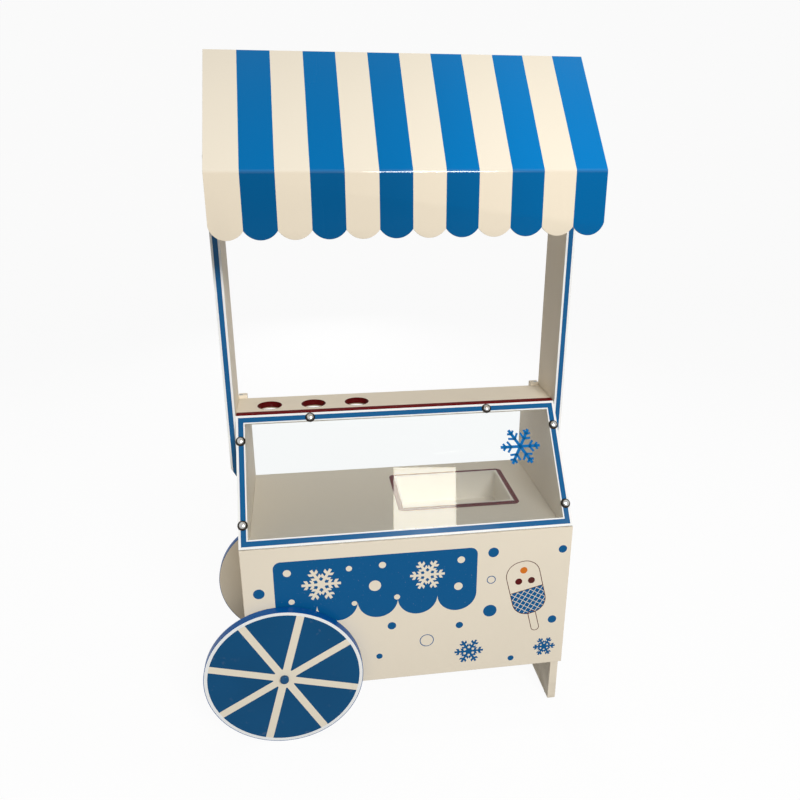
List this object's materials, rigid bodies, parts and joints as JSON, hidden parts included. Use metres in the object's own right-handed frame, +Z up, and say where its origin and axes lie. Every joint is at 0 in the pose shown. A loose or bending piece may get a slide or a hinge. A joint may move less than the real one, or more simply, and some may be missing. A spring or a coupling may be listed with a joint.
{
  "type": "toy ice cream kiosk",
  "caption": "Child-size ice cream kiosk: board cart on two disc wheels with a clear sloped case front, a counter shelf with cone holes and a bent striped awning on posts.",
  "frame": {"origin": "on the floor, under the middle of the outline box", "axes": "+Z up, +X to the right seen from the front, -Y towards the customer's side that the clear sheet faces"},
  "size_m": [0.6987, 0.3646, 1.197],
  "materials": {
    "cream_board": "satin cream laminate on 16 mm board",
    "dark_red_plastic": "satin dark red",
    "white_plastic": "semi-gloss white",
    "clear_acrylic": "polished clear",
    "blue_white_tape": "satin blue line on white",
    "chrome": "polished",
    "foam_tape": "matt foam",
    "awning_plastic": "gloss sheet with blue and cream stripes",
    "wheel_board": "printed satin laminate, blue with cream spokes",
    "blue_edge_band": "satin blue",
    "axle_steel": "turned",
    "bushing_plastic": "natural nylon",
    "blue_plastic": "semi-gloss blue",
    "glide_plastic": "matt grey",
    "zinc_steel": "zinc plated",
    "beech": "plain beech"
  },
  "bodies": {
    "kiosk": {"front_panel": "cream_board", "right_side_panel": "cream_board", "left_side_panel": "cream_board", "bottom_board": "cream_board", "case_floor": "cream_board", "rear_rail": "cream_board", "counter_shelf": "cream_board", "corner_blocks": "cream_board", "right_post": "cream_board", "left_post": "cream_board", "right_awning_arm": "cream_board", "left_awning_arm": "cream_board", "ridge_rail": "cream_board", "valance_batten": "cream_board", "head_rail": "cream_board", "cone_hole_liners": "dark_red_plastic", "shelf_trim": "dark_red_plastic", "recess_trim": "dark_red_plastic", "carcass_screw_caps": "white_plastic", "post_screw_caps": "white_plastic", "acrylic_front": "clear_acrylic", "border_tape": "blue_white_tape", "post_bands": "blue_white_tape", "acrylic_screws": "chrome", "awning_tape": "foam_tape", "awning_sheet": "awning_plastic", "axle": "axle_steel", "axle_bushings": "bushing_plastic", "front_hub_cap": "blue_plastic", "back_hub_cap": "blue_plastic", "leg_glides": "glide_plastic", "corner_block_screws": "zinc_steel", "carcass_screws": "zinc_steel", "post_screws": "zinc_steel", "rail_screws": "zinc_steel", "front_dowels": "beech", "shelf_dowels": "beech"},
    "front_wheel": {"front_wheel": "wheel_board", "front_wheel_band": "blue_edge_band"},
    "back_wheel": {"back_wheel": "wheel_board", "back_wheel_band": "blue_edge_band"},
    "tub": {"ice_tub": "white_plastic"}
  },
  "joints": [
    {"name": "front_wheel_spin", "type": "hinge", "parent": "kiosk", "child": "front_wheel", "pos_m": [-0.20485, -0.168, 0.1445], "axis": [0, 1, 0], "continuous": true},
    {"name": "back_wheel_spin", "type": "hinge", "parent": "kiosk", "child": "back_wheel", "pos_m": [-0.20485, 0.168, 0.1445], "axis": [0, 1, 0], "continuous": true},
    {"name": "tub_lift", "type": "slide", "parent": "kiosk", "child": "tub", "axis": [0, 0, 1], "range_m": [0, 0.058]}
  ]
}
